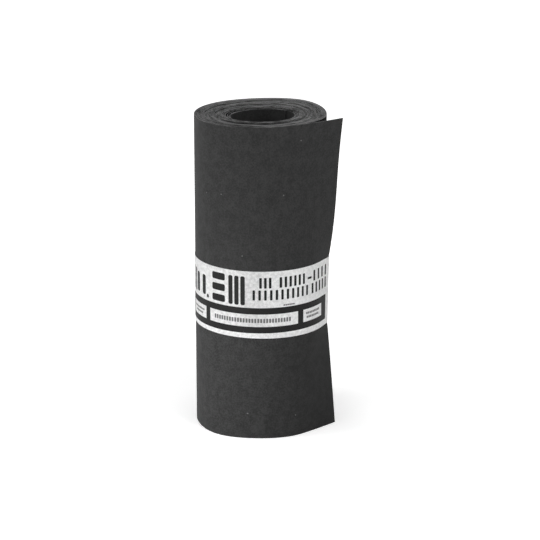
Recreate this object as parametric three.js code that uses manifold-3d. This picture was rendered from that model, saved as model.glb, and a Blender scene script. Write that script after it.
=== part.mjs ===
// A roll of asphalt roofing felt standing on end, with the paper band that keeps it wound.
// Millimetres, +Z up. The origin is on the floor, at the middle of the object's box.
//
// felt_roll   one long sheet wound on itself round an open bore: a turned solid whose turns show
//             as a spiral gap on both ends, and whose free end springs away above and below the
//             band.
// paper_band  the wrapper: one strip of paper drawn round the roll's waist and over the free end,
//             lapped at the back.

import * as THREE from "three";
import { mergeVertices } from "three/addons/utils/BufferGeometryUtils.js";
import Module from "manifold-3d";

const { degToRad, euclideanModulo, lerp } = THREE.MathUtils;
const fullTurn = 2 * Math.PI;

// ---- Driving dimensions ----

const rollHeight = 457.2; // the sheet is cut 18 in wide
const rollRadius = 95; // at the free end, and a sheet less where that sheet's turn began
const sheetThickness = 1.2;
const sheetTurns = 35;

// The bore is what the winding mandrel left: a little oval, and off the roll's axis.
const boreHalfWidth = 44.6;
const boreHalfDepth = 40.5;
const boreOffsetX = 2.5;
const boreOffsetY = -8;
const innerEndAngle = degToRad(44);

// Single turns are finer than the solid needs, so the spiral gap passes once for every few
// sheets. It is widest behind the loose innermost turn.
const sheetsPerGap = 3;
const solidOuterSheets = 2;
const innerGapWidth = 2.2;
const outerGapWidth = 1;
const gapDepth = 3;

// The outer free end is an upright straight cut, this far round the roll from +X.
const freeEndArc = -17.4;
const freeEndBendRadius = 700; // the curl left in the sheet where it stands free
const freeLengthAtFloor = 63.6;
const freeLengthAtBandBottom = 24;
const freeLengthAtBandTop = 32;
const freeLengthAtTop = 80.8;
const springPower = 0.72; // under 1, the sheet springs away fastest just clear of the band
const topWave = 2.7;

// The band holds the roll round. Toward each end the turns are looser, and they stand out of the
// round or lie in from it by this much at the very end.
const topSwells = [
  { at: degToRad(56), halfWidth: degToRad(56), out: 11 },
  { at: degToRad(-72), halfWidth: degToRad(73), out: -4.5 },
];
const bottomSwells = [
  { at: degToRad(-132), halfWidth: degToRad(40), out: 3 },
  { at: degToRad(-91), halfWidth: degToRad(34), out: -2 },
];

const bandBottom = 152.3;
const bandWidth = 99;
const bandThickness = 0.4;
const bandClearance = 0.3;
const bandLapAngle = degToRad(95);
const bandLapLength = 24;

// ---- Facets ----

const wallStep = degToRad(6);
const boreSteps = 48;
const gapStepsPerTurn = 32;
const freeEndSteps = 7;
const wedgeSteps = 8; // of the roll's wall behind the free end
const springShares = [0.1, 0.25, 0.45, 0.7, 1]; // of the way from the band to an end

// ---- The winding ----

const direction = (angle) => new THREE.Vector2(Math.cos(angle), Math.sin(angle));
const bandTop = bandBottom + bandWidth;
const freeEndAngle = freeEndArc / rollRadius;

// Radius of the sheet's outer face. The angle counts whole turns too: it is freeEndAngle at the
// free end, and a turn less one sheet further in.
function sheetRadius(windingAngle) {
  return rollRadius - (sheetThickness * (freeEndAngle - windingAngle)) / fullTurn;
}

// How far the swells move the face out at an angle, and how fast that changes with the angle.
function outOfRound(angle, swells) {
  let out = 0;
  let slope = 0;
  for (const swell of swells) {
    const past = euclideanModulo(angle - swell.at + Math.PI, fullTurn) - Math.PI;
    if (Math.abs(past) >= swell.halfWidth) continue;
    const wave = Math.PI / swell.halfWidth;
    out += (swell.out / 2) * (1 + Math.cos(wave * past));
    slope -= (swell.out / 2) * wave * Math.sin(wave * past);
  }
  return { out, slope };
}

// The same face as a point. Whole turns are counted back from the free end, and the angle is the
// face's own normal, also where the roll is out of the round.
function onSheet(windingAngle, swells = [], standoff = 0) {
  const { out, slope } = outOfRound(windingAngle, swells);
  const along = direction(windingAngle + fullTurn / 4);
  return direction(windingAngle)
    .multiplyScalar(sheetRadius(windingAngle) + out + standoff)
    .addScaledVector(along, slope);
}

// The bore's wall grows by one sheet in a turn and steps back at the sheet's inner end.
function onBore(angle, turnsFromInnerEnd) {
  const growth = sheetThickness * turnsFromInnerEnd;
  return new THREE.Vector2(
    boreOffsetX + (boreHalfWidth + growth) * Math.cos(angle),
    boreOffsetY + (boreHalfDepth + growth) * Math.sin(angle),
  );
}

// ---- The free end ----

const springLength = (share, atBand, atEnd, wave) =>
  lerp(atBand, atEnd, share ** springPower) + wave * Math.sin(fullTurn * share);

const scaled = (swells, share) => swells.map((swell) => ({ ...swell, out: swell.out * share }));

// Every height at which the felt has a section, with the length of sheet that stands free there
// and the swells.
const levels = [
  ...[...springShares].reverse().map((share) => ({
    height: bandBottom * (1 - share),
    freeLength: springLength(share, freeLengthAtBandBottom, freeLengthAtFloor, 0),
    swells: scaled(bottomSwells, share),
  })),
  ...[0, 0.5, 1].map((share) => ({
    height: lerp(bandBottom, bandTop, share),
    freeLength: lerp(freeLengthAtBandBottom, freeLengthAtBandTop, share),
    swells: [],
  })),
  ...springShares.map((share) => ({
    height: lerp(bandTop, rollHeight, share),
    freeLength: springLength(share, freeLengthAtBandTop, freeLengthAtTop, topWave),
    swells: scaled(topSwells, share),
  })),
];
const bandLevels = levels.slice(springShares.length, -springShares.length);

const leaveAngle = (freeLength) => (freeEndArc - freeLength) / rollRadius;
const firstLeaveAngle = Math.min(...levels.map(({ freeLength }) => leaveAngle(freeLength)));

// The free sheet's outer face from where it leaves the roll to its cut edge, as points and normals.
function freeSheet({ freeLength, swells }) {
  const from = leaveAngle(freeLength);
  return Array.from({ length: freeEndSteps + 1 }, (_, i) => {
    const bend = (freeLength * i) / freeEndSteps / freeEndBendRadius;
    const normal = direction(from + bend);
    const travel = normal.clone().sub(direction(from)).multiplyScalar(freeEndBendRadius);
    return { point: onSheet(from, swells).add(travel), normal };
  });
}

// ---- Sections, each a closed line of points, counter-clockwise from above ----

const spaced = (from, to, steps) =>
  Array.from({ length: steps }, (_, i) => lerp(from, to, i / steps));

// The felt's outside: from the bottom of the wedge behind the free end, once round the roll, then
// out along the free end and back.
function feltSection(level) {
  const from = leaveAngle(level.freeLength);
  const wallTo = firstLeaveAngle - wallStep + fullTurn;
  const wallSteps = Math.ceil((wallTo - freeEndAngle) / wallStep);
  const angles = [
    ...spaced(from, freeEndAngle, wedgeSteps),
    ...spaced(freeEndAngle, wallTo, wallSteps),
    ...spaced(wallTo, from + fullTurn, 3),
  ];
  const sheet = freeSheet(level);
  const inside = sheet
    .slice(1)
    .reverse()
    .map(({ point, normal }) => point.clone().addScaledVector(normal, -sheetThickness));
  return [
    ...angles.map((angle) => onSheet(angle - fullTurn, level.swells)),
    ...sheet.map(({ point }) => point),
    ...inside,
  ];
}

function boreSection() {
  const turns = [...spaced(0, 1, boreSteps), 1];
  return turns.map((turn) => onBore(innerEndAngle + fullTurn * turn, turn));
}

// The band is drawn tight: round the roll, out over the free end, and straight back to the roll.
// It is twice as thick where its ends lap.
function bandSection(level, standoff, lapThickness) {
  const sheet = freeSheet(level);
  const edge = sheet.at(-1).point;
  const landing = edge.angle() - fullTurn + Math.acos(sheetRadius(-fullTurn) / edge.length());
  const from = landing;
  const lapTo = bandLapAngle + bandLapLength / rollRadius;
  const wallTo = leaveAngle(level.freeLength) + fullTurn;
  const onWall = (angle, extra) => onSheet(angle - fullTurn, level.swells, standoff + extra);
  const steps = (a, b) => Math.round((b - a) / wallStep);
  const upToLap = spaced(from, bandLapAngle, steps(freeEndAngle, bandLapAngle));
  const lap = spaced(bandLapAngle, lapTo, 3);
  const pastLap = spaced(lapTo, wallTo, steps(lapTo, firstLeaveAngle + fullTurn));
  return [
    ...upToLap.map((angle) => onWall(angle, 0)),
    onWall(bandLapAngle, 0),
    ...lap.map((angle) => onWall(angle, lapThickness)),
    onWall(lapTo, lapThickness),
    ...pastLap.map((angle) => onWall(angle, 0)),
    ...sheet.map(({ point, normal }) => point.clone().addScaledVector(normal, standoff)),
    edge.clone().addScaledVector(direction(landing), standoff),
  ];
}

// ---- Solids ----

const raise = (section, height) => section.map(({ x, y }) => new THREE.Vector3(x, y, height));

// A closed tube-like solid between two walls, each a stack of rings from the bottom up.
function loft(outerRings, innerRings) {
  const triangles = [];
  const wall = (rings, outward) =>
    rings.slice(1).forEach((high, level) => {
      const low = rings[level];
      low.forEach((a, i) => {
        const next = (i + 1) % low.length;
        const [b, c, d] = [low[next], high[next], high[i]];
        triangles.push(...(outward ? [a, b, c, a, c, d] : [a, c, b, a, d, c]));
      });
    });
  const cap = (outer, inner, upward) => {
    const points = [...outer, ...inner];
    for (const corners of THREE.ShapeUtils.triangulateShape([...outer], [[...inner]])) {
      const face = corners.map((i) => points[i]);
      if (THREE.ShapeUtils.area(face) > 0 !== upward) face.reverse();
      triangles.push(...face);
    }
  };
  wall(outerRings, true);
  wall(innerRings, false);
  cap(outerRings[0], innerRings[0], false);
  cap(outerRings.at(-1), innerRings.at(-1), true);
  return new THREE.BufferGeometry().setFromPoints(triangles);
}

// The spiral gap of an end with these swells, as a strip of the given depth standing on z = 0.
function gapGeometry(depth, swells) {
  const turns = (sheetTurns - solidOuterSheets - 1) / sheetsPerGap;
  const steps = Math.round(turns * gapStepsPerTurn);
  const innerSide = [];
  const outerSide = [];
  for (let i = -1; i <= steps; i++) {
    const turn = (turns * i) / steps;
    const angle = innerEndAngle + fullTurn * turn;
    const wallAngle = (angle % fullTurn) - fullTurn;
    const boreWall = onBore(angle, 0);
    const across = onSheet(wallAngle, swells).sub(boreWall);
    const share = (1 + sheetsPerGap * turn) / (sheetTurns + wallAngle / fullTurn);
    const gap = lerp(innerGapWidth, outerGapWidth, i / steps) / across.length();
    innerSide.push(boreWall.clone().addScaledVector(across, share));
    outerSide.push(boreWall.clone().addScaledVector(across, share + gap));
  }
  const strip = new THREE.Shape([...outerSide, ...innerSide.reverse()]);
  return new THREE.ExtrudeGeometry(strip, { depth, bevelEnabled: false });
}

const wasm = await Module();
wasm.setup();

function toSolid(geometry) {
  geometry.deleteAttribute("normal");
  geometry.deleteAttribute("uv");
  const merged = mergeVertices(geometry);
  const vertProperties = merged.attributes.position.array;
  const triVerts = new Uint32Array(merged.index.array);
  return new wasm.Manifold(new wasm.Mesh({ numProp: 3, vertProperties, triVerts }));
}

function toGeometry(solid) {
  const { vertProperties, triVerts } = solid.getMesh();
  const geometry = new THREE.BufferGeometry()
    .setAttribute("position", new THREE.BufferAttribute(vertProperties, 3))
    .setIndex(new THREE.BufferAttribute(triVerts, 1))
    .toNonIndexed();
  geometry.computeVertexNormals();
  return geometry;
}

function feltGeometry() {
  const overshoot = 1;
  const outside = levels.map((level) => raise(feltSection(level), level.height));
  const bore = boreSection();
  const wound = toSolid(loft(outside, [raise(bore, 0), raise(bore, rollHeight)]));
  const gap = (swells) => gapGeometry(gapDepth + overshoot, swells);
  const topGap = toSolid(gap(topSwells).translate(0, 0, rollHeight - gapDepth));
  const bottomGap = toSolid(gap(bottomSwells).translate(0, 0, -overshoot));
  return toGeometry(wound.subtract(topGap).subtract(bottomGap));
}

function bandGeometry() {
  const rings = (standoff, lapThickness) =>
    bandLevels.map((level) => raise(bandSection(level, standoff, lapThickness), level.height));
  const inner = rings(bandClearance, 0);
  const outer = rings(bandClearance + bandThickness, bandThickness);
  return toGeometry(toSolid(loft(outer, inner)));
}

// ---- The object ----

const felt = new THREE.Mesh(
  feltGeometry(),
  new THREE.MeshStandardMaterial({ color: 0x3a3a3a, roughness: 0.9, metalness: 0 }),
);
felt.name = "felt_roll";

const band = new THREE.Mesh(
  bandGeometry(),
  new THREE.MeshStandardMaterial({ color: 0xdcdcda, roughness: 0.85, metalness: 0 }),
);
band.name = "paper_band";

// The roll is modelled about its own axis, and the free end puts its box off that axis.
const roll = new THREE.Group().add(felt, band);
const middle = new THREE.Box3().setFromObject(roll, true).getCenter(new THREE.Vector3());
roll.position.set(-middle.x, -middle.y, 0);

export default new THREE.Group().add(roll);
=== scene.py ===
# A roll of asphalt roofing felt standing on end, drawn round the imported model: the felt as one
# long sheet in all its turns, and the printed paper wrapper round its waist.
# Metres, +Z up, in the frame of the CAD model.

import collections
import math

import bpy
import numpy as np
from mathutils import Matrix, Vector


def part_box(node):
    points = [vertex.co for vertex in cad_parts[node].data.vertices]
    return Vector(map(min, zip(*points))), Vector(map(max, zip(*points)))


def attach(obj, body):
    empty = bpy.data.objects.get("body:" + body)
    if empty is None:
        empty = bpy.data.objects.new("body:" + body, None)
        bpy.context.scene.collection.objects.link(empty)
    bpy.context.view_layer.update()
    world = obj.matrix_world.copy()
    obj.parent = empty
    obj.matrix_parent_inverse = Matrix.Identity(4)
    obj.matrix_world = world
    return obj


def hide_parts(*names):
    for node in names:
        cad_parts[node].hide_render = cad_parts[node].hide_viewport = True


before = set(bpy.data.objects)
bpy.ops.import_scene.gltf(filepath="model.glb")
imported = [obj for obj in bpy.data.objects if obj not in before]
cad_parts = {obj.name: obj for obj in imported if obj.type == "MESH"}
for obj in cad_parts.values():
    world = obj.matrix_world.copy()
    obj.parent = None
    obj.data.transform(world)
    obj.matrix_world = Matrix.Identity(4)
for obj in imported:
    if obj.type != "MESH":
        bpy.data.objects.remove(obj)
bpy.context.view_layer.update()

TURN = 2 * math.pi
MM = 0.001

# ---- The roll's own sizes, as the CAD model has them ----

ROLL_AXIS = (-10.316 * MM, -1.18 * MM)
ROLL_RADIUS = 95 * MM
ROLL_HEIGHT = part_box("felt_roll")[1][2]
SHEET_PITCH = 1.2 * MM
SHEET_TURNS = 35
BORE_CENTRE = (2.5 * MM, -8 * MM)
BORE_HALF = (44.6 * MM, 40.5 * MM)
INNER_END_ANGLE = math.radians(44)

FREE_END_ARC = -17.4 * MM
FREE_END_ANGLE = FREE_END_ARC / ROLL_RADIUS
FREE_END_BEND_RADIUS = 700 * MM
FREE_LENGTH_AT_FLOOR = 63.6 * MM
FREE_LENGTH_AT_BAND_BOTTOM = 24 * MM
FREE_LENGTH_AT_BAND_TOP = 32 * MM
FREE_LENGTH_AT_TOP = 80.8 * MM
SPRING_POWER = 0.72
TOP_WAVE = 2.7 * MM

# Where the roll is out of the round at its ends: the angle, the half-width and how far out.
TOP_SWELLS = (
    (math.radians(56), math.radians(56), 11 * MM),
    (math.radians(-72), math.radians(73), -4.5 * MM),
)
BOTTOM_SWELLS = (
    (math.radians(-132), math.radians(40), 3 * MM),
    (math.radians(-91), math.radians(34), -2 * MM),
)

BAND_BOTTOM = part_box("paper_band")[0][2]
BAND_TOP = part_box("paper_band")[1][2]
BAND_LAP_ANGLE = math.radians(95)
BAND_LAP_LENGTH = 24 * MM

# ---- What only the looks need ----

FELT_THICKNESS = 1.06 * MM  # under the pitch, so that a line shows between two turns
EDGE_ROUNDING = 0.22 * MM
COLUMNS_PER_TURN = 120
FINE_TURNS = 1.15  # of the outermost felt, with levels close enough for the free end's curve
FINE_COLUMNS = 185  # so that one of them is a whole turn back from the free end's edge
ROUNDING_ERROR = 0.001  # of a turn, more than there can be in a column's place
LEVELS_BELOW_BAND = 14
LEVELS_IN_BAND = 6
LEVELS_ABOVE_BAND = 16
LEVEL_CROWDING = 1.5  # over 1, the levels are closest next to the band

PAPER_THICKNESS = 0.35 * MM
PAPER_CLEARANCE = 0.3 * MM
LAP_CLEARANCE = 0.05 * MM
PAPER_LEVELS = 20
LAP_EASE = (math.radians(5), math.radians(0.5))  # before the lap, where the paper rises for it

# How far the paper's lower and upper edges rise toward the left and fall toward the right.
PAPER_SLOPE_BELOW = 1.3 * MM
PAPER_SLOPE_ABOVE = 0.3 * MM

# Points along the wrapper's way round the roll, part by part.
POINTS_ROUND = 88  # to where the felt leaves the roll
POINTS_ON_FREE_END = 14
POINTS_AT_EDGE = 7
POINTS_OVER_GAP = 8
POINTS_ON_BACK = 44  # on the roll again, to the end of the lap


def direction(angle):
    return np.stack([np.cos(angle), np.sin(angle)], axis=-1)


def smooth_step(low, high, value):
    share = np.clip((value - low) / (high - low), 0, 1)
    return share * share * (3 - 2 * share)


def wobble(turns, per_turn, seed):
    """Smooth noise from -1 to 1 along the winding, with this many waves in a turn."""
    source = np.random.default_rng(seed)
    knots = np.arange(math.floor(turns.min() * per_turn) - 1, math.ceil(turns.max() * per_turn) + 2)
    values = source.uniform(-1, 1, len(knots))
    place = turns * per_turn - knots[0]
    index = np.clip(place.astype(int), 0, len(knots) - 2)
    share = smooth_step(0, 1, place - index)
    return values[index] * (1 - share) + values[index + 1] * share


# ---- The winding ----


def sheet_radius(angle):
    """Radius of the outermost sheet's outer face, at an angle counted along the winding."""
    return ROLL_RADIUS - SHEET_PITCH * (FREE_END_ANGLE - angle) / TURN


def out_of_round(angle, swells):
    """How far the swells move the face out at an angle, and how fast that changes with it."""
    out = np.zeros_like(angle)
    slope = np.zeros_like(angle)
    for at, half_width, distance in swells:
        past = (angle - at + TURN / 2) % TURN - TURN / 2
        wave = math.pi / half_width
        height = np.where(np.abs(past) < half_width, distance / 2, 0)
        out += height * (1 + np.cos(wave * past))
        slope -= height * wave * np.sin(wave * past)
    return out, slope


def shares_to_ends(height):
    """How far a height lies from the band toward the floor and toward the top: 0 in it, 1 there."""
    to_floor = np.clip(1 - height / BAND_BOTTOM, 0, 1)
    to_top = np.clip((height - BAND_TOP) / (ROLL_HEIGHT - BAND_TOP), 0, 1)
    return to_floor, to_top


def wall(angle, radius, height):
    """Point on the roll's outside: round in the band, and less so toward each end."""
    at_floor, at_top = shares_to_ends(height)
    top_out, top_slope = out_of_round(angle, TOP_SWELLS)
    floor_out, floor_slope = out_of_round(angle, BOTTOM_SWELLS)
    out = radius + at_top * top_out + at_floor * floor_out
    slope = at_top * top_slope + at_floor * floor_slope
    return direction(angle) * out[..., None] + direction(angle + TURN / 4) * slope[..., None]


def spring_length(share, at_band, at_end, wave):
    """Length of free sheet between the band, where the share is 0, and an end of the roll."""
    return at_band + (at_end - at_band) * share**SPRING_POWER + wave * np.sin(TURN * share)


def free_length(height):
    """Length of sheet that stands free of the roll at a height."""
    to_floor, to_top = shares_to_ends(height)
    low, high = FREE_LENGTH_AT_BAND_BOTTOM, FREE_LENGTH_AT_BAND_TOP
    share_in_band = np.clip((height - BAND_BOTTOM) / (BAND_TOP - BAND_BOTTOM), 0, 1)
    below = spring_length(to_floor, low, FREE_LENGTH_AT_FLOOR, 0)
    inside = low + share_in_band * (high - low)
    above = spring_length(to_top, high, FREE_LENGTH_AT_TOP, TOP_WAVE)
    return np.where(height < BAND_BOTTOM, below, np.where(height > BAND_TOP, above, inside))


def leave_angle(length):
    return (FREE_END_ARC - length) / ROLL_RADIUS


def outer_sheet(arc_back, height):
    """Point and normal on the outer face, this far back along the sheet from its free end."""
    length = free_length(height)
    start = leave_angle(length)
    wound = np.minimum((FREE_END_ARC - arc_back) / ROLL_RADIUS, start)
    bend = np.maximum(length - arc_back, 0) / FREE_END_BEND_RADIUS
    normal = direction(wound + bend)
    travel = FREE_END_BEND_RADIUS * (normal - direction(wound))
    return wall(wound, sheet_radius(wound), height) + travel, normal


# Turns are counted from the inner end of the sheet.
ALL_TURNS = SHEET_TURNS + (FREE_END_ANGLE - INNER_END_ANGLE) / TURN % 1 - 1

# Where the wound turns stand apart: a place in turns, and its part of the room that there is.
LOOSE_PLACES = ((1.7, 0.05), (2.9, 0.13))
LOOSE_SPREAD = 0.5  # of a turn, over which a gap opens
TIGHT_PITCH = 1.1 * MM
SNUG_TURNS = 2.5  # the outermost turns, wound at the full pitch with no room between them

# Where the cut edges are darker or lighter: the middle of the patch in turns and degrees, its
# half-width in both, and the change, where 1 is from the darkest edge to the lightest.
EDGE_PATCHES = (
    (11, -95, 8, 75, -0.35),
    (2, -100, 5, 80, -0.20),
    (27, -115, 9, 50, -0.30),
    (34.5, -75, 5, 60, -0.35),
    (3, -165, 2, 25, 0.50),
    (6, -15, 4, 30, 0.25),
    (6, 130, 7, 60, -0.20),
    (15.5, 50, 3, 60, 0.25),
    (18.5, 120, 2.5, 60, 0.20),
    (24, 45, 4, 50, 0.25),
    (32.5, 75, 6, 110, 0.65),
    (24, -165, 3, 30, 0.30),
)


def winding_angle(turns):
    return INNER_END_ANGLE + TURN * turns


def room_used(turns):
    """How much of the room between the turns lies inside this one, from 0 at the bore to 1."""
    even = np.clip(turns / (ALL_TURNS - SNUG_TURNS), 0, 1)
    used = even * (1 - sum(part for _, part in LOOSE_PLACES))
    for place, part in LOOSE_PLACES:
        used += part * smooth_step(place - LOOSE_SPREAD / 2, place + LOOSE_SPREAD / 2, turns)
    return used


def wound_sheet(turns, height):
    """Outer-face points at a height, and the way out across the turns."""
    angle = winding_angle(turns)
    bore = np.array(BORE_CENTRE) + direction(angle) * np.array(BORE_HALF)
    turns_back = ALL_TURNS - turns
    outside = wall(angle, ROLL_RADIUS, height)
    across = outside - bore
    width = np.linalg.norm(across, axis=-1)
    across /= width[..., None]
    snug = np.minimum(turns_back, SNUG_TURNS) * SHEET_PITCH
    tight = np.maximum(turns_back - SNUG_TURNS, 0) * TIGHT_PITCH
    all_tight = SHEET_PITCH * (SNUG_TURNS + 1) + TIGHT_PITCH * (ALL_TURNS - SNUG_TURNS)
    room = width - all_tight
    depth = snug + tight + room * (1 - room_used(turns))
    return outside - across * depth[..., None], across


def degrees_past(angle, side):
    return (np.degrees(angle) - side + 180) % 360 - 180


def toward(angle, side):
    """1 on this side of the roll, given in degrees, and less the further round, down to 0."""
    return (1 + np.cos(angle - math.radians(side))) / 2


def hump(past, half_width):
    """1 in the middle, falling smoothly to 0 at the half-width."""
    return (1 + np.cos(math.pi * np.clip(past / half_width, -1, 1))) / 2


# The forms of the cut edge at the top. Depths are in millimetres below the full height, places
# and half-widths in turns, and sides of the roll in degrees.
LEAST_DROP = 0.05

# Two steps down toward the bore, at the back: the turn of each, how far it swings outward and
# toward which side, and the side where it is deepest and the depth there.
BACK_STEPS = ((11.5, 2.8, 130, 120, 1.1), (24, 0, 130, 130, 0.6))
STEP_HALF_WIDTH = 0.15

# A groove round the front, and the innermost turns, which have sunk on the left.
GROOVE_SIDE = -85
GROOVE_TURN = 12
GROOVE_SWING = 1.6
GROOVE_SWING_SIDE = -110
GROOVE_HALF_WIDTHS = (1.6, 3.6)  # at its ends, and what is added where it is deepest
GROOVE_DROP = 2.6
SUNK_TURNS = (3, 1)  # where they start to sink and where they are lowest
SUNK_SIDE = -130
SUNK_DROP = 1.6

# On the right the wound turns are lower than the free end that stands in front of them.
BESIDE_FREE_END_STARTS = (0.3, 0.8)  # in from the outside
BESIDE_FREE_END_STOPS = (11, 3)
BESIDE_FREE_END_SIDE = -17
BESIDE_FREE_END_HALF_ANGLE = 26
BESIDE_FREE_END_DROP = 0.8

# Two sizes of waves: how high, how many in a turn, and the seed of each.
TOP_WAVES = ((0.1, 5, 1), (0.3, 0.93, 2))
FULL_WAVES_TURN = 1.5  # in from the free end, which has none

# The cut edge at the floor has waves in the inner turns: how high, how many in a turn, the seed.
FLOOR_WAVES = (0.5 * MM, 1.1, 3)
EASED_TURNS = 3  # over which they fade to none at the outside


def top_drop(turns, angle):
    """How far the cut edge at the top lies below the full height, at places on the winding."""
    drop = np.zeros_like(turns)
    for turn, swing, swing_side, side, depth in BACK_STEPS:
        past_step = turns - (turn + swing * np.cos(angle - math.radians(swing_side)))
        inside = smooth_step(STEP_HALF_WIDTH, -STEP_HALF_WIDTH, past_step)
        drop += depth * toward(angle, side) ** 2 * inside

    front = toward(angle, GROOVE_SIDE) ** 2
    groove = GROOVE_TURN + GROOVE_SWING * np.cos(angle - math.radians(GROOVE_SWING_SIDE))
    narrow, widening = GROOVE_HALF_WIDTHS
    drop += GROOVE_DROP * front * hump(turns - groove, narrow + widening * front)
    drop += SUNK_DROP * toward(angle, SUNK_SIDE) * smooth_step(*SUNK_TURNS, turns)

    turns_back = ALL_TURNS - turns
    beside = smooth_step(*BESIDE_FREE_END_STARTS, turns_back)
    beside = beside * smooth_step(*BESIDE_FREE_END_STOPS, turns_back)
    past_side = degrees_past(angle, BESIDE_FREE_END_SIDE)
    drop += BESIDE_FREE_END_DROP * beside * hump(past_side, BESIDE_FREE_END_HALF_ANGLE)

    waves = sum(high * (1 + wobble(turns, per_turn, seed)) for high, per_turn, seed in TOP_WAVES)
    waves = waves * smooth_step(0, FULL_WAVES_TURN, turns_back)
    return (LEAST_DROP + drop + waves) * MM


def floor_rise(turns):
    """How far the cut edge at the floor lies above it."""
    high, per_turn, seed = FLOOR_WAVES
    waves = high * (1 + wobble(turns, per_turn, seed)) / 2
    return waves * smooth_step(ALL_TURNS, ALL_TURNS - EASED_TURNS, turns)


def edge_tone(turns, angle):
    """How light the cut edge is, from 0 to 1."""
    tone = np.full_like(turns, 0.5)
    for turn, side, half_turns, half_angle, change in EDGE_PATCHES:
        near = hump(turns - turn, half_turns) * hump(degrees_past(angle, side), half_angle)
        tone += change * near
    return tone


# ---- Meshes ----


# The parts of a strip's surface.
OUTER, TOP, INNER, BOTTOM, START, END = range(6)


def closed_strip(rings, levels, bevel_points):
    """Faces of a strip from its rings, each a closed loop up one face and down the other.

    A ring has `levels[i]` points up the outer face, the bevel points over the upper edge, the same
    down the inner face, and the bevel points under the lower edge. Returns the faces, the part of
    the surface that each is on, and the ring it starts from."""
    faces = []
    parts = []
    first_rings = []
    starts = np.concatenate([[0], np.cumsum([len(ring) for ring in rings])])

    def add(corners, part, ring):
        faces.append(tuple(corners))
        parts.append(part)
        first_rings.append(ring)

    for i in range(len(rings) - 1):
        here, there = int(starts[i]), int(starts[i + 1])
        m, n = levels[i], levels[i + 1]
        half, other_half = m + bevel_points, n + bevel_points
        for side, (face, edge) in enumerate(((OUTER, TOP), (INNER, BOTTOM))):
            a, b = here + side * half, there + side * other_half
            if m == n:
                for k in range(m - 1):
                    add((a + k, b + k, b + k + 1, a + k + 1), face, i)
            else:
                add((a, *range(b, b + n), *range(a + m - 1, a, -1)), face, i)
            for k in range(bevel_points + 1):
                c, d = side * half + m - 1 + k, side * other_half + n - 1 + k
                c_next, d_next = (c + 1) % (2 * half), (d + 1) % (2 * other_half)
                add((here + c, there + d, there + d_next, here + c_next), edge, i)

    for part, ring in ((START, 0), (END, len(rings) - 1)):
        first, m = int(starts[ring]), levels[ring]
        outer = [first + k for k in range(m)]
        inner = [first + 2 * m + bevel_points - 1 - k for k in range(m)]
        cap = [(inner[k], inner[k + 1], outer[k + 1], outer[k]) for k in range(m - 1)]
        if bevel_points:
            cap.append([first + m + bevel_points - k for k in range(bevel_points + 2)])
            under = [first + 2 * m + bevel_points - 1 + k for k in range(bevel_points + 1)]
            cap.append([first, *reversed(under)])
        for corners in cap:
            add(corners if part == END else reversed(corners), part, ring)
    return faces, np.array(parts), np.array(first_rings)


def add_object(name, data):
    new = bpy.data.objects.new(name, data)
    bpy.context.scene.collection.objects.link(new)
    return new


def new_piece(name, points, faces, materials, face_materials):
    mesh = bpy.data.meshes.new(name)
    mesh.from_pydata(points.tolist(), [], faces)
    for material in materials:
        mesh.materials.append(material)
    mesh.polygons.foreach_set("material_index", face_materials.astype(np.int32))
    mesh.polygons.foreach_set("use_smooth", np.ones(len(faces), dtype=bool))
    mesh.set_sharp_from_angle(angle=math.radians(40))
    mesh.update()
    return add_object(name, mesh)


def set_attribute(piece, name, kind, values):
    """Stores a value for each point, which the piece's material reads by this name."""
    attribute = piece.data.attributes.new(name, kind, "POINT")
    key = "vector" if kind == "FLOAT_VECTOR" else "value"
    attribute.data.foreach_set(key, values.ravel().astype(np.float32))


def ring_depths(count):
    """How deep in the sheet a ring's points lie: 0 on the outer face and 1 on the inner face."""
    inset = EDGE_ROUNDING / FELT_THICKNESS
    return np.array([0] * count + [inset, 1 - inset] + [1] * count + [1 - inset, inset])


def ring_points(outer, normal, heights, low, high):
    """One ring of the felt: up the outer face, over the edge, down the inner face and back."""
    count = len(heights)
    rows = [*range(count), -1, -1, *range(count - 1, -1, -1), 0, 0]
    inward = normal[rows] * FELT_THICKNESS * ring_depths(count)[:, None]
    ring = np.column_stack([outer[rows] - inward, heights[rows]])
    ring[count : count + 2, 2] = high
    ring[-2:, 2] = low
    return ring


def felt_levels():
    """Heights of the fine part's rows: closest next to the band, where the free end bends most."""
    down = np.linspace(1, 0, LEVELS_BELOW_BAND, endpoint=False) ** LEVEL_CROWDING
    inside = np.linspace(BAND_BOTTOM, BAND_TOP, LEVELS_IN_BAND)
    up = np.linspace(0, 1, LEVELS_ABOVE_BAND + 1)[1:] ** LEVEL_CROWDING
    above = BAND_TOP + (ROLL_HEIGHT - BAND_TOP) * up
    return np.concatenate([BAND_BOTTOM * (1 - down), inside, above])


def covered_rings():
    """The places in turns, the rings and their levels, from the bore to where it gets fine."""
    end = ALL_TURNS - FINE_TURNS
    turns = np.linspace(0, end, round(end * COLUMNS_PER_TURN), endpoint=False)
    levels = np.array([0, BAND_BOTTOM, BAND_TOP, ROLL_HEIGHT])
    sheets = [wound_sheet(turns, level) for level in levels]
    outer = np.stack([points for points, _ in sheets], axis=1)
    across = np.stack([normals for _, normals in sheets], axis=1)
    high = ROLL_HEIGHT - top_drop(turns, winding_angle(turns))
    low = floor_rise(turns)
    rings = []
    for i in range(len(turns)):
        heights = np.clip(levels, low[i] + EDGE_ROUNDING, high[i] - EDGE_ROUNDING)
        rings.append(ring_points(outer[i], across[i], heights, low[i], high[i]))
    return turns, rings, [len(levels)] * len(rings)


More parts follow.
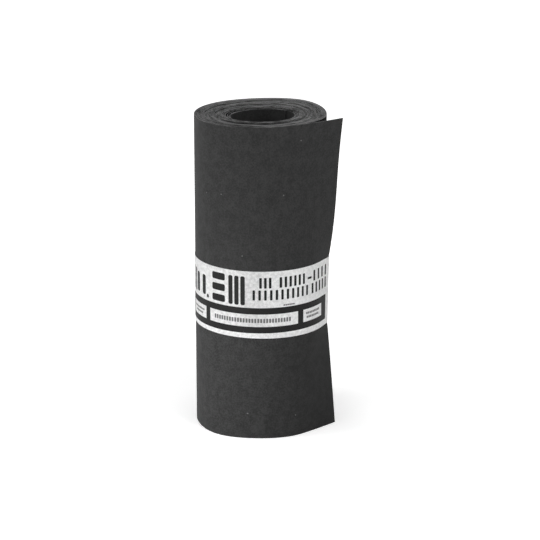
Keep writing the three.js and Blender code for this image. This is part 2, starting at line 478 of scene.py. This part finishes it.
def outermost_rings():
    """The same from there to the free end's edge, with many levels."""
    arcs = np.linspace(FINE_TURNS * TURN * ROLL_RADIUS, 0, FINE_COLUMNS)
    turns = ALL_TURNS - arcs / (TURN * ROLL_RADIUS)
    levels = felt_levels()
    tops = ROLL_HEIGHT - top_drop(turns, winding_angle(turns))
    rings = []
    for arc, top in zip(arcs, tops):
        heights = np.clip(levels, EDGE_ROUNDING, top - EDGE_ROUNDING)
        sheet, normal = outer_sheet(np.full(len(levels), arc), heights)
        rings.append(ring_points(sheet, normal, heights, 0, top))
    return turns, rings, [len(levels)] * len(rings)


def felt_piece(materials):
    """The whole sheet as one strip, with its places stored for the materials."""
    covered_turns, rings, levels = covered_rings()
    outermost_turns, outermost, outermost_levels = outermost_rings()
    ring_turns = np.concatenate([covered_turns, outermost_turns])
    rings += outermost
    levels += outermost_levels
    faces, parts, first_rings = closed_strip(rings, levels, bevel_points=2)
    points = np.concatenate(rings)
    points[:, :2] += ROLL_AXIS
    face_turns = ring_turns[first_rings]
    on_outside = (parts == OUTER) & (face_turns > ALL_TURNS - 1 - ROUNDING_ERROR)
    on_bore = (parts == INNER) & (face_turns < 1)
    covered = (parts == OUTER) | (parts == INNER)
    looks = np.select([on_outside | on_bore, covered], [0, 1], default=2)
    piece = new_piece("felt_sheet", points, faces, materials, looks)

    point_turns = np.repeat(ring_turns, [len(ring) for ring in rings])
    point_angles = winding_angle(point_turns)
    depths = np.concatenate([ring_depths(count) for count in levels])
    back = (ALL_TURNS - point_turns) * TURN * ROLL_RADIUS
    on_sheet = np.column_stack([back, points[:, 2], depths])
    on_edges = np.column_stack([direction(point_angles), point_turns])
    set_attribute(piece, "sheet_place", "FLOAT_VECTOR", on_sheet)
    set_attribute(piece, "edge_place", "FLOAT_VECTOR", on_edges)
    set_attribute(piece, "edge_tone", "FLOAT", edge_tone(point_turns, point_angles))
    lay_out_map(piece, parts, face_turns, point_turns, on_sheet)
    return piece


# The felt's texture map.
MAP_MARGIN = 0.003  # round each region
ROW_MARGIN = 0.05  # below and above each row of a region, as a part of the row
CUT_SHARE = 0.4  # of the region for the sheet's two cut ends, to each of them

# Its regions: the lower left corner and the size of each.
OUTSIDE_REGION = (0, 0.35, 1, 0.65)
TOP_REGION = (0, 0, 0.34, 0.34)
BOTTOM_REGION = (0.34, 0, 0.28, 0.28)
ENDS_REGION = (0.34, 0.28, 0.28, 0.06)
BORE_REGION = (0.62, 0, 0.18, 0.34)
UNDER_OUTSIDE_REGION = (0.8, 0, 0.2, 0.12)
COVERED_REGION = (0.8, 0.12, 0.2, 0.22)


def lay_out_map(piece, parts, face_turns, point_turns, on_sheet):
    """Gives the felt a texture map on which most of the room goes to the faces that show."""
    mesh = piece.data
    corner_points = np.empty(len(mesh.loops), dtype=np.int32)
    mesh.loops.foreach_get("vertex_index", corner_points)
    corner_counts = np.empty(len(mesh.polygons), dtype=np.int32)
    mesh.polygons.foreach_get("loop_total", corner_counts)
    part = np.repeat(parts, corner_counts)
    face_turn = np.repeat(face_turns, corner_counts)
    turn = point_turns[corner_points]
    back, height, depth = on_sheet[corner_points].T
    height = height / ROLL_HEIGHT
    points = np.array([vertex.co for vertex in mesh.vertices])[corner_points]
    low, high = points.min(axis=0), points.max(axis=0)
    x, y = ((points - low)[:, :2] / (high - low)[:2].max()).T

    fine = face_turn >= ALL_TURNS - FINE_TURNS
    around_fine = 1 - back / (FINE_TURNS * TURN * ROLL_RADIUS)
    row = np.floor(face_turn)
    in_row = (turn - row) * COLUMNS_PER_TURN / (COLUMNS_PER_TURN + 1)
    bore = (part == INNER) & (row == 0)
    in_height = ROW_MARGIN + (1 - 2 * ROW_MARGIN) * height
    row_place = (2 * row + (part == INNER) + in_height) / (2 * math.ceil(ALL_TURNS))

    uv = np.zeros((len(part), 2))
    for chosen, region, across, up in (
        (part == OUTER, COVERED_REGION, in_row, row_place),
        (part == INNER, COVERED_REGION, in_row, row_place),
        (bore, BORE_REGION, in_row, height),
        (fine & (part == OUTER), OUTSIDE_REGION, around_fine, height),
        (fine & (part == INNER), UNDER_OUTSIDE_REGION, around_fine, height),
        (part == TOP, TOP_REGION, x, y),
        (part == BOTTOM, BOTTOM_REGION, x, y),
        (part == START, ENDS_REGION, height, depth * CUT_SHARE),
        (part == END, ENDS_REGION, height, 1 - CUT_SHARE + depth * CUT_SHARE),
    ):
        left, bottom, width, tall = region
        place = np.column_stack([across, up])[chosen]
        size = np.array([width, tall]) - 2 * MAP_MARGIN
        uv[chosen] = np.array([left, bottom]) + MAP_MARGIN + place * size
    layer = mesh.uv_layers.new(name="OFBake")
    layer.uv.foreach_set("vector", uv.ravel().astype(np.float32))


# ---- The paper wrapper ----


def wrapper_path(height):
    """The wrapper's way round the roll at a height, counter-clockwise from its inner end.

    Returns points on the felt, normals, distances along the paper from the front, and the
    extra standoff of the lap."""
    length = float(free_length(np.array(height)))
    leave = leave_angle(length)
    wall_angles = np.linspace(BAND_LAP_ANGLE - TURN, leave, POINTS_ROUND, endpoint=False)
    wound = direction(wall_angles) * sheet_radius(wall_angles)[:, None]

    arcs_back = np.linspace(length, 0, POINTS_ON_FREE_END)
    sheet, sheet_normals = outer_sheet(arcs_back, np.full(len(arcs_back), height))
    edge = sheet[-1]
    edge_angle = math.atan2(edge[1], edge[0])
    reach = float(np.linalg.norm(edge))
    landing = edge_angle + math.acos(float(sheet_radius(np.array(-TURN))) / reach)
    last_normal = math.atan2(sheet_normals[-1][1], sheet_normals[-1][0])
    corner_angles = np.linspace(last_normal, landing, POINTS_AT_EDGE)[1:]
    corner = np.repeat(edge[None], len(corner_angles), axis=0)

    landing_point = direction(np.array(landing)) * float(sheet_radius(np.array(landing - TURN)))
    bridge_shares = np.linspace(0, 1, POINTS_OVER_GAP)[1:-1, None]
    bridge = edge * (1 - bridge_shares) + landing_point * bridge_shares
    bridge_normals = np.repeat(direction(np.array(landing))[None], len(bridge), axis=0)

    lap_end = BAND_LAP_ANGLE + BAND_LAP_LENGTH / ROLL_RADIUS
    back_angles = np.linspace(landing, lap_end, POINTS_ON_BACK)
    back = direction(back_angles) * sheet_radius(back_angles - TURN)[:, None]

    points = np.concatenate([wound, sheet, corner, bridge, back])
    normals = np.concatenate(
        [direction(wall_angles), sheet_normals, direction(corner_angles), bridge_normals,
         direction(back_angles)]
    )
    middle = points + normals * (PAPER_CLEARANCE + PAPER_THICKNESS)
    along = np.concatenate([[0], np.cumsum(np.linalg.norm(np.diff(middle, axis=0), axis=1))])
    front = -TURN / 4
    along -= np.interp(front, wall_angles, along[: len(wall_angles)])
    lap = np.zeros(len(points))
    rise_from, rise_to = (BAND_LAP_ANGLE - before for before in LAP_EASE)
    lap[-len(back_angles) :] = smooth_step(rise_from, rise_to, back_angles)
    return points, normals, along, lap * (PAPER_THICKNESS + LAP_CLEARANCE)


def wrapper_piece(material):
    """The paper as one strip, with its edges a little askew and its place in the print stored."""
    levels = np.linspace(0, 1, PAPER_LEVELS)
    paths = [wrapper_path(BAND_BOTTOM + level * (BAND_TOP - BAND_BOTTOM)) for level in levels]
    rings = []
    places = []
    for i in range(len(paths[0][0])):
        outer = []
        inner = []
        place = []
        for level, (points, normals, along, lap) in zip(levels, paths):
            # The paper was wrapped a little askew, so its edges slope across the front.
            rightward = math.sin(along[i] / ROLL_RADIUS)
            low = BAND_BOTTOM - PAPER_SLOPE_BELOW * rightward
            high = BAND_TOP - PAPER_SLOPE_ABOVE * rightward - PAPER_SLOPE_ABOVE
            height = low + (high - low) * level
            standoff = PAPER_CLEARANCE + lap[i]
            near = points[i] + normals[i] * standoff
            far = near + normals[i] * PAPER_THICKNESS
            outer.append((*far, height))
            inner.append((*near, height))
            place.append((along[i], height - BAND_BOTTOM, 0))
        rings.append(np.array(outer + inner[::-1]))
        places.append(np.array(place + place[::-1]))
    faces, _, _ = closed_strip(rings, [PAPER_LEVELS] * len(rings), bevel_points=0)
    points = np.concatenate(rings)
    points[:, :2] += ROLL_AXIS
    piece = new_piece("paper_wrapper", points, faces, [material], np.zeros(len(faces)))
    set_attribute(piece, "print_place", "FLOAT_VECTOR", np.concatenate(places))
    return piece


# ---- Materials ----


def grey(level):
    """A display level from 0 to 255 as a linear colour."""
    share = level / 255
    linear = share / 12.92 if share < 0.04045 else ((share + 0.055) / 1.055) ** 2.4
    return (linear, linear, linear, 1)


def fill_inputs(tree, node, inputs):
    """Links each input that is given as a socket, and sets any other to its value."""
    for key, value in inputs.items():
        if isinstance(value, bpy.types.NodeSocket):
            tree.links.new(value, node.inputs[key])
        else:
            node.inputs[key].default_value = value


def add_node(tree, kind, inputs=None, **settings):
    new = tree.nodes.new(kind)
    for key, value in settings.items():
        setattr(new, key, value)
    fill_inputs(tree, new, inputs or {})
    return new


def calculate(tree, operation, *values):
    return add_node(tree, "ShaderNodeMath", dict(enumerate(values)), operation=operation).outputs[0]


def stretch(tree, vector, factors):
    inputs = {0: vector, 1: factors}
    return add_node(tree, "ShaderNodeVectorMath", inputs, operation="MULTIPLY").outputs[0]


def read_attribute(tree, name, output="Vector"):
    settings = {"attribute_name": name, "attribute_type": "GEOMETRY"}
    return add_node(tree, "ShaderNodeAttribute", **settings).outputs[output]


def mix_values(tree, share, first, second):
    """The first value with this share of the second mixed in."""
    return calculate(tree, "ADD", calculate(tree, "MULTIPLY", first, 1 - share),
                     calculate(tree, "MULTIPLY", second, share))


def noise(tree, place, scale, detail=3, roughness=0.55):
    """Noise with about this many spots in a metre."""
    inputs = {"Vector": place, "Scale": scale, "Detail": detail, "Roughness": roughness}
    return add_node(tree, "ShaderNodeTexNoise", inputs).outputs["Fac"]


def remap(tree, value, low, high, to_low=0, to_high=1):
    """Takes the value from one range to another, eased and held at both ends."""
    inputs = {"Value": value, "From Min": low, "From Max": high}
    inputs |= {"To Min": to_low, "To Max": to_high}
    return add_node(tree, "ShaderNodeMapRange", inputs, interpolation_type="SMOOTHSTEP").outputs[0]


def blend_colours(tree, share, first, second):
    inputs = {"Factor": share, 6: first, 7: second}
    return add_node(tree, "ShaderNodeMix", inputs, data_type="RGBA").outputs[2]


def bump(tree, height, strength, distance):
    inputs = {"Height": height, "Strength": strength, "Distance": distance}
    return add_node(tree, "ShaderNodeBump", inputs).outputs[0]


def new_material(name):
    """A node material, its tree and its Principled shader."""
    material = bpy.data.materials.new(name)
    material.use_nodes = True
    tree = material.node_tree
    return material, tree, tree.nodes["Principled BSDF"]


# The darkest and lightest display level of each surface, from 0 to 255.
# Clean felt shows low down at the free end and on the bore's wall, where it is painted shade.
CLEAN_AND_SHADED_FELT = (25, 42)
DUSTY_FELT = (41, 66)
COVERED_FELT = (18, 30)
FELT_FLECK = 105
CUT_EDGE = (48, 128)
PLAIN_PAPER = (219, 246)
# The paler paper is painted light on the right, and the greyer paper is painted shade on the left.
PAINTED_LIGHT_PAPER = (232, 253)
PAINTED_SHADE_PAPER = (199, 229)
PRINT_INK = (20, 32)

# Where a surface's noise is at its darkest and lightest.
FELT_SPECKLE = (0.36, 0.64)
PAPER_SPECKLE = (0.37, 0.63)


def grey_between(tree, share, levels):
    dark, light = levels
    return blend_colours(tree, share, grey(dark), grey(light))


def felt_grain(tree):
    """A place on the felt, and the fine grain of its faces there."""
    place = add_node(tree, "ShaderNodeTexCoord").outputs["Object"]
    return place, noise(tree, place, scale=420, detail=4, roughness=0.65)


def grain_bump(tree, grain):
    return bump(tree, grain, strength=0.35, distance=0.4 * MM)


# Pale dust lies on the roll's outside. Low down there is none at the free end and more the further
# back along the sheet, and higher up it is more even. Past the outermost turn there is none. The
# darker felt that this leaves low down at the free end and on the bore's wall is painted shade.
SHADE_TO_FULL_DUST_BACK = 0.23  # m from the free end
EVEN_DUST = 0.55
UNEVEN_ABOVE = 0.2  # of the unevenness low down
UNEVEN_HEIGHTS = (0.3, 0.15)  # m, from the higher to the lower
DUST_END_BEFORE_BORE_SHADE = (0.8, 0.7)  # m from the free end

# A few cells of a random pattern have a pale fleck in the middle.
FLECK_CELLS = 25  # along a metre
FLECKED_CELLS = (0.79, 0.81)  # the random tone, from 0 to 1, from which a cell has one
FLECK_EDGE = (0.033, 0.015)  # from the middle, as a part of a cell


def weathered_felt_material():
    """The felt's faces out in the weather: the roll's outside and the wall of its bore. Low down at
    the free end and on the bore's wall they are darker, which is painted shade.
    """
    material, tree, shader = new_material("weathered_felt")
    place, grain = felt_grain(tree)
    blotches = noise(tree, place, scale=90)
    speckle = remap(tree, mix_values(tree, 0.3, grain, blotches), *FELT_SPECKLE)
    clean_and_shaded = grey_between(tree, speckle, CLEAN_AND_SHADED_FELT)
    dusty = grey_between(tree, speckle, DUSTY_FELT)

    sheet = read_attribute(tree, "sheet_place")
    back, height, _ = add_node(tree, "ShaderNodeSeparateXYZ", {0: sheet}).outputs
    # Less dust low down at the free end, and none on the bore's wall, leaves painted shade there.
    unlike_even = calculate(tree, "SUBTRACT", remap(tree, back, 0, SHADE_TO_FULL_DUST_BACK), EVEN_DUST)
    uneven = remap(tree, height, *UNEVEN_HEIGHTS, UNEVEN_ABOVE, 1)
    dust_and_painted_shade = calculate(tree, "MULTIPLY_ADD", unlike_even, uneven, EVEN_DUST)
    dust_and_painted_shade = calculate(tree, "MULTIPLY", dust_and_painted_shade, remap(tree, back, *DUST_END_BEFORE_BORE_SHADE))
    weathered_and_shaded = blend_colours(tree, dust_and_painted_shade, clean_and_shaded, dusty)

    inputs = {"Vector": sheet, "Scale": FLECK_CELLS}
    cells = add_node(tree, "ShaderNodeTexVoronoi", inputs, voronoi_dimensions="2D").outputs
    few = remap(tree, cells["Color"], *FLECKED_CELLS)
    fleck = calculate(tree, "MULTIPLY", remap(tree, cells["Distance"], *FLECK_EDGE), few)
    fill_inputs(
        tree,
        shader,
        {
            "Base Color": blend_colours(tree, fleck, weathered_and_shaded, grey(FELT_FLECK)),
            "Roughness": remap(tree, grain, 0.3, 0.7, to_low=0.72, to_high=0.88),
            "Normal": grain_bump(tree, grain),
            "Specular IOR Level": 0.22,
        },
    )
    return material


def covered_felt_material():
    """The felt's faces between the turns, which no light or weather has reached."""
    material, tree, shader = new_material("covered_felt")
    _, grain = felt_grain(tree)
    fill_inputs(
        tree,
        shader,
        {
            "Base Color": grey_between(tree, remap(tree, grain, *FELT_SPECKLE), COVERED_FELT),
            "Roughness": 0.95,
            "Normal": grain_bump(tree, grain),
            "Specular IOR Level": 0.03,
        },
    )
    return material


def cut_edge_material():
    """The felt's cut edges: paler than its faces, in patches that run along the turns."""
    material, tree, shader = new_material("cut_felt_edge")
    place = add_node(tree, "ShaderNodeTexCoord").outputs["Object"]
    around = read_attribute(tree, "edge_place")
    fibres = noise(tree, place, scale=900, roughness=0.7)
    tone = read_attribute(tree, "edge_tone", "Fac")
    for pattern, amount in (
        (noise(tree, stretch(tree, around, (3.2, 3.2, 0.4)), scale=1, detail=1), 1.0),
        (noise(tree, stretch(tree, around, (9.5, 9.5, 1)), scale=1, detail=1), 1.0),
        (fibres, 0.8),
    ):
        base = calculate(tree, "SUBTRACT", tone, amount / 2)
        tone = calculate(tree, "MULTIPLY_ADD", pattern, amount, base)
    fill_inputs(
        tree,
        shader,
        {
            "Base Color": grey_between(tree, remap(tree, tone, 0, 1), CUT_EDGE),
            "Roughness": 0.92,
            "Normal": bump(tree, fibres, strength=0.5, distance=0.3 * MM),
            "Specular IOR Level": 0.1,
        },
    )
    return material


# ---- The wrapper's print: plain bars and blocks, with no lettering ----

PRINT_SOFTNESS = 0.25 * MM
INK_SPREAD = 0.02 * MM  # past a block's own edge
SMALL_PRINT_INK = 0.8  # of full ink

# A row of equal blocks with rounded corners. Its left and right end are from the middle of the
# front, and its lower and upper edge from the paper's lower edge, all in millimetres.
Row = collections.namedtuple("Row", "left right low high corner count gap", defaults=(0, 1, 0))

FRAME_LEFT, FRAME_RIGHT = -150, 122.5
LOWER_RULE = (7.8, 17.0)
UPPER_RULE = (35.8, 45.0)
FRAME_UPRIGHTS = ((FRAME_LEFT, -134), (-90.6, -81.6), (56.1, 65.2), (108.3, FRAME_RIGHT))

PRINT = (
    Row(FRAME_LEFT, FRAME_RIGHT, *LOWER_RULE),
    Row(FRAME_LEFT, FRAME_RIGHT, *UPPER_RULE),
    *(Row(left, right, LOWER_RULE[0], UPPER_RULE[1]) for left, right in FRAME_UPRIGHTS),
    # A line of bold stripes: two upright pairs, a dot, three level ones and three upright ones.
    Row(-140, -121.5, 51, 85, 2, 2, 6.5),
    Row(-118, -92, 52.5, 81.5, 3, 2, 9.5),
    Row(-89, -84.6, 49.5, 54.5, 2),
    *(Row(-76.5, -53.5, low, low + 10, 2.5) for low in (49.5, 65.5, 81.5)),
    Row(-47.5, -22.7, 48.6, 91, 2.5, 3, 2.8),
    # Two lines that stand for words, each of them in rows of upright stripes.
    Row(-2, 15, 74.2, 89.6, 1, 3, 3.4),
    Row(27, 68, 74.2, 89.6, 1, 6, 4),
    Row(73.5, 81.5, 79.3, 82.3, 0.5),
    Row(86, 122.5, 74.6, 90, 1, 4, 6.9),
    Row(-11.5, 74, 56.6, 71.3, 1, 11, 4.9),
    Row(82, 122.5, 56.2, 71.4, 1, 5, 5.2),
)
# Fine rows that stand for small print: one under the words, and the others in the frame's panels.
SMALL_PRINT = (
    Row(33, 50, 47, 49, 0.3, 6, 0.7),
    Row(-128, -96, 27.5, 30, 0.3, 9, 0.8),
    Row(-124, -100, 22, 24.5, 0.3, 7, 0.8),
    Row(-72, 44, 23.2, 29.2, 0.6, 28, 1.5),
    Row(71, 101, 28, 31, 0.3, 9, 0.9),
    Row(72, 99, 22, 25, 0.3, 8, 0.9),
)


def row_group():
    """A node group: 1 inside a block of a row and 0 outside the blocks."""
    group = bpy.data.node_groups.new("printed_row", "ShaderNodeTree")
    for name, kind in (("Place", "Vector"), ("Centre", "Vector"), ("Half", "Vector"),
                       ("Corner", "Float"), ("Count", "Float"), ("Pitch", "Float")):
        group.interface.new_socket(name, in_out="INPUT", socket_type="NodeSocket" + kind)
    group.interface.new_socket("Ink", in_out="OUTPUT", socket_type="NodeSocketFloat")
    ins = add_node(group, "NodeGroupInput").outputs

    def vector(operation, *values):
        return add_node(group, "ShaderNodeVectorMath", dict(enumerate(values)), operation=operation)

    # The nearest block's middle, as a number of blocks from the row's middle.
    from_centre = vector("SUBTRACT", ins["Place"], ins["Centre"]).outputs[0]
    along = add_node(group, "ShaderNodeSeparateXYZ", {0: from_centre}).outputs["X"]
    last = calculate(group, "SUBTRACT", ins["Count"], 1)
    half_last = calculate(group, "MULTIPLY", last, 0.5)
    number = calculate(group, "ADD", calculate(group, "DIVIDE", along, ins["Pitch"]), half_last)
    number = calculate(group, "MAXIMUM", calculate(group, "ROUND", number), 0)
    number = calculate(group, "SUBTRACT", calculate(group, "MINIMUM", number, last), half_last)
    middle = calculate(group, "MULTIPLY", number, ins["Pitch"])
    block = add_node(group, "ShaderNodeCombineXYZ", {"X": middle}).outputs[0]

    # How far the place lies past the block, which has round corners.
    away = vector("ABSOLUTE", vector("SUBTRACT", from_centre, block).outputs[0]).outputs[0]
    past_half = vector("SUBTRACT", away, ins["Half"]).outputs[0]
    beyond = vector("MAXIMUM", past_half, (0, 0, 0)).outputs[0]
    length = vector("LENGTH", beyond).outputs["Value"]
    distance = calculate(group, "SUBTRACT", length, ins["Corner"])
    ink = remap(group, distance, PRINT_SOFTNESS, 0)
    add_node(group, "NodeGroupOutput", {"Ink": ink})
    return group


def ink_of(tree, group, place, rows):
    """How much ink all the rows leave at a place, from 0 to 1."""
    ink = None
    for row in rows:
        pitch = (row.right - row.left + row.gap) / row.count
        half_width = (pitch - row.gap) / 2 - row.corner
        half_height = (row.high - row.low) / 2 - row.corner
        inputs = {
            "Place": place,
            "Centre": ((row.left + row.right) / 2 * MM, (row.low + row.high) / 2 * MM, 0),
            "Half": (half_width * MM, half_height * MM, 1),
            "Corner": row.corner * MM + INK_SPREAD,
            "Count": row.count,
            "Pitch": pitch * MM,
        }
        here = add_node(tree, "ShaderNodeGroup", inputs, node_tree=group).outputs[0]
        ink = here if ink is None else calculate(tree, "MAXIMUM", ink, here)
    return ink


# The paper is paler on the right, which is painted light. On the left it is greyer above its plain
# lower edge, and most of all next to the middle, which is painted shade. Each pair says where a
# change starts and where it is full, along the paper from the middle of the front or up from its
# lower edge.
PAINTED_LIGHT_ON_RIGHT = (25 * MM, 60 * MM)
PAINTED_SHADE_ON_LEFT = (25 * MM, -8 * MM)
PAINTED_SHADE_MOST = (-45 * MM, -22 * MM)
PAINTED_SHADE_FAR_LEFT = 0.5  # the part of it that is left beyond the start
PAINTED_SHADE_HEIGHTS = (8 * MM, 14 * MM)


def paper_material():
    material, tree, shader = new_material("printed_paper")
    place = read_attribute(tree, "print_place")
    fibres = noise(tree, place, scale=700)
    mottles = noise(tree, place, scale=210)
    group = row_group()
    small = ink_of(tree, group, place, SMALL_PRINT)
    faint = calculate(tree, "MULTIPLY", small, SMALL_PRINT_INK)
    ink = calculate(tree, "MAXIMUM", ink_of(tree, group, place, PRINT), faint)

    speckle = remap(tree, mix_values(tree, 0.6, fibres, mottles), *PAPER_SPECKLE)
    plain = grey_between(tree, speckle, PLAIN_PAPER)
    pale = grey_between(tree, speckle, PAINTED_LIGHT_PAPER)
    shaded_paper = grey_between(tree, speckle, PAINTED_SHADE_PAPER)
    along, height, _ = add_node(tree, "ShaderNodeSeparateXYZ", {0: place}).outputs
    # Painted light makes the paper paler on the right, and painted shade greys it on the left.
    paper = blend_colours(tree, remap(tree, along, *PAINTED_LIGHT_ON_RIGHT), plain, pale)
    on_left = remap(tree, along, *PAINTED_SHADE_ON_LEFT)
    most = remap(tree, along, *PAINTED_SHADE_MOST, PAINTED_SHADE_FAR_LEFT, 1)
    painted_shade = calculate(tree, "MULTIPLY", calculate(tree, "MULTIPLY", on_left, most),
                     remap(tree, height, *PAINTED_SHADE_HEIGHTS))
    paper = blend_colours(tree, painted_shade, paper, shaded_paper)
    inked = grey_between(tree, remap(tree, fibres, 0.35, 0.7), PRINT_INK)
    fill_inputs(
        tree,
        shader,
        {
            "Base Color": blend_colours(tree, ink, paper, inked),
            "Roughness": remap(tree, ink, 0, 1, to_low=0.7, to_high=0.6),
            "Normal": bump(tree, fibres, strength=0.15, distance=0.1 * MM),
            "Specular IOR Level": 0.15,
        },
    )
    return material


# ---- Stage ----

FLOOR_HALF_WIDTH = 12
FLOOR_LIFT = 0.52  # the floor's own white next to the roll, and it is full white past the fade
FLOOR_FADE = (0.15, 0.7)  # m from the roll

CAMERA_PLACE = (ROLL_AXIS[0], ROLL_AXIS[1] - 3.1215, 1.1883)
CAMERA_PITCH = 0.2995  # down from level
CAMERA_YAW = 0.0043  # toward +X
CAMERA_LENS = 150.7  # mm
CAMERA_SENSOR = 36  # mm wide

# The soft lights: where each stands and how wide it is, in metres, and its watts.
LIGHTS = (
    ("left", (-1.39, -0.17, 1.0), 0.7, 8.5),
    ("right", (0.98, -0.99, 1.3), 0.7, 11.8),
    ("low_left", (-0.34, -0.49, 0.05), 0.3, 1.8),
    ("top", (-0.1, -0.1, 2.9), 0.5, 22.3),
)


def add_camera():
    data = bpy.data.cameras.new("camera")
    data.lens = CAMERA_LENS
    data.sensor_width = CAMERA_SENSOR
    camera = add_object("camera", data)
    camera.location = CAMERA_PLACE
    camera.rotation_euler = (math.pi / 2 - CAMERA_PITCH, 0, -CAMERA_YAW)
    bpy.context.scene.camera = camera


def add_soft_light(name, place, width, watts):
    """A round area light that faces the middle of the roll."""
    data = bpy.data.lights.new(name, "AREA")
    data.shape = "DISK"
    data.size = width
    data.energy = watts
    light = add_object(name, data)
    light.location = place
    to_roll = Vector((*ROLL_AXIS, ROLL_HEIGHT / 2)) - Vector(place)
    light.rotation_euler = to_roll.to_track_quat("-Z", "Y").to_euler()


def seen_plainly(tree):
    """1 for a ray from the camera, or from it by a mirror or through glass, and 0 for light."""
    path = add_node(tree, "ShaderNodeLightPath").outputs
    either = calculate(tree, "MAXIMUM", path["Is Glossy Ray"], path["Is Transmission Ray"])
    return calculate(tree, "MAXIMUM", path["Is Camera Ray"], either)


def set_world(at_horizon, overhead):
    """A white surround that lights the object more from the sides than from above."""
    world = bpy.data.worlds.new("studio")
    bpy.context.scene.world = world
    world.use_nodes = True
    tree = world.node_tree
    way = add_node(tree, "ShaderNodeTexCoord").outputs["Generated"]
    height = add_node(tree, "ShaderNodeSeparateXYZ", {0: way}).outputs["Z"]
    ambient = remap(tree, height, 0, 1, at_horizon, overhead)
    strength = remap(tree, seen_plainly(tree), 0, 1, ambient, 1)
    background = tree.nodes["Background"]
    background.inputs["Color"].default_value = (1, 1, 1, 1)
    tree.links.new(strength, background.inputs["Strength"])


def add_floor():
    """A wide pale floor that the camera sees as white, but for the roll's shadow."""
    material, tree, _ = new_material("studio_floor")
    tree.nodes.clear()
    place = add_node(tree, "ShaderNodeTexCoord").outputs["Object"]
    distance = add_node(tree, "ShaderNodeVectorMath", {0: place}, operation="LENGTH")
    far_off = remap(tree, distance.outputs["Value"], *FLOOR_FADE, FLOOR_LIFT, 1)
    lift = calculate(tree, "MULTIPLY", seen_plainly(tree), far_off)
    diffuse = add_node(tree, "ShaderNodeBsdfDiffuse", {"Color": (0.8, 0.8, 0.8, 1)})
    glow = add_node(tree, "ShaderNodeEmission", {"Color": (1, 1, 1, 1), "Strength": lift})
    both = add_node(tree, "ShaderNodeAddShader", {0: diffuse.outputs[0], 1: glow.outputs[0]})
    add_node(tree, "ShaderNodeOutputMaterial", {"Surface": both.outputs[0]})

    w = FLOOR_HALF_WIDTH
    mesh = bpy.data.meshes.new("floor")
    mesh.from_pydata([(-w, -w, 0), (w, -w, 0), (w, w, 0), (-w, w, 0)], [], [(0, 1, 2, 3)])
    mesh.materials.append(material)
    floor = add_object("floor", mesh)


# ---- The scene ----

add_camera()
felt = felt_piece([weathered_felt_material(), covered_felt_material(), cut_edge_material()])
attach(felt, "root")
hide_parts("felt_roll")

wrapper = wrapper_piece(paper_material())
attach(wrapper, "root")
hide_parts("paper_band")

add_floor()
set_world(at_horizon=0.217, overhead=0.07)
for light in LIGHTS:
    add_soft_light(*light)
bpy.context.scene.view_settings.view_transform = "Standard"
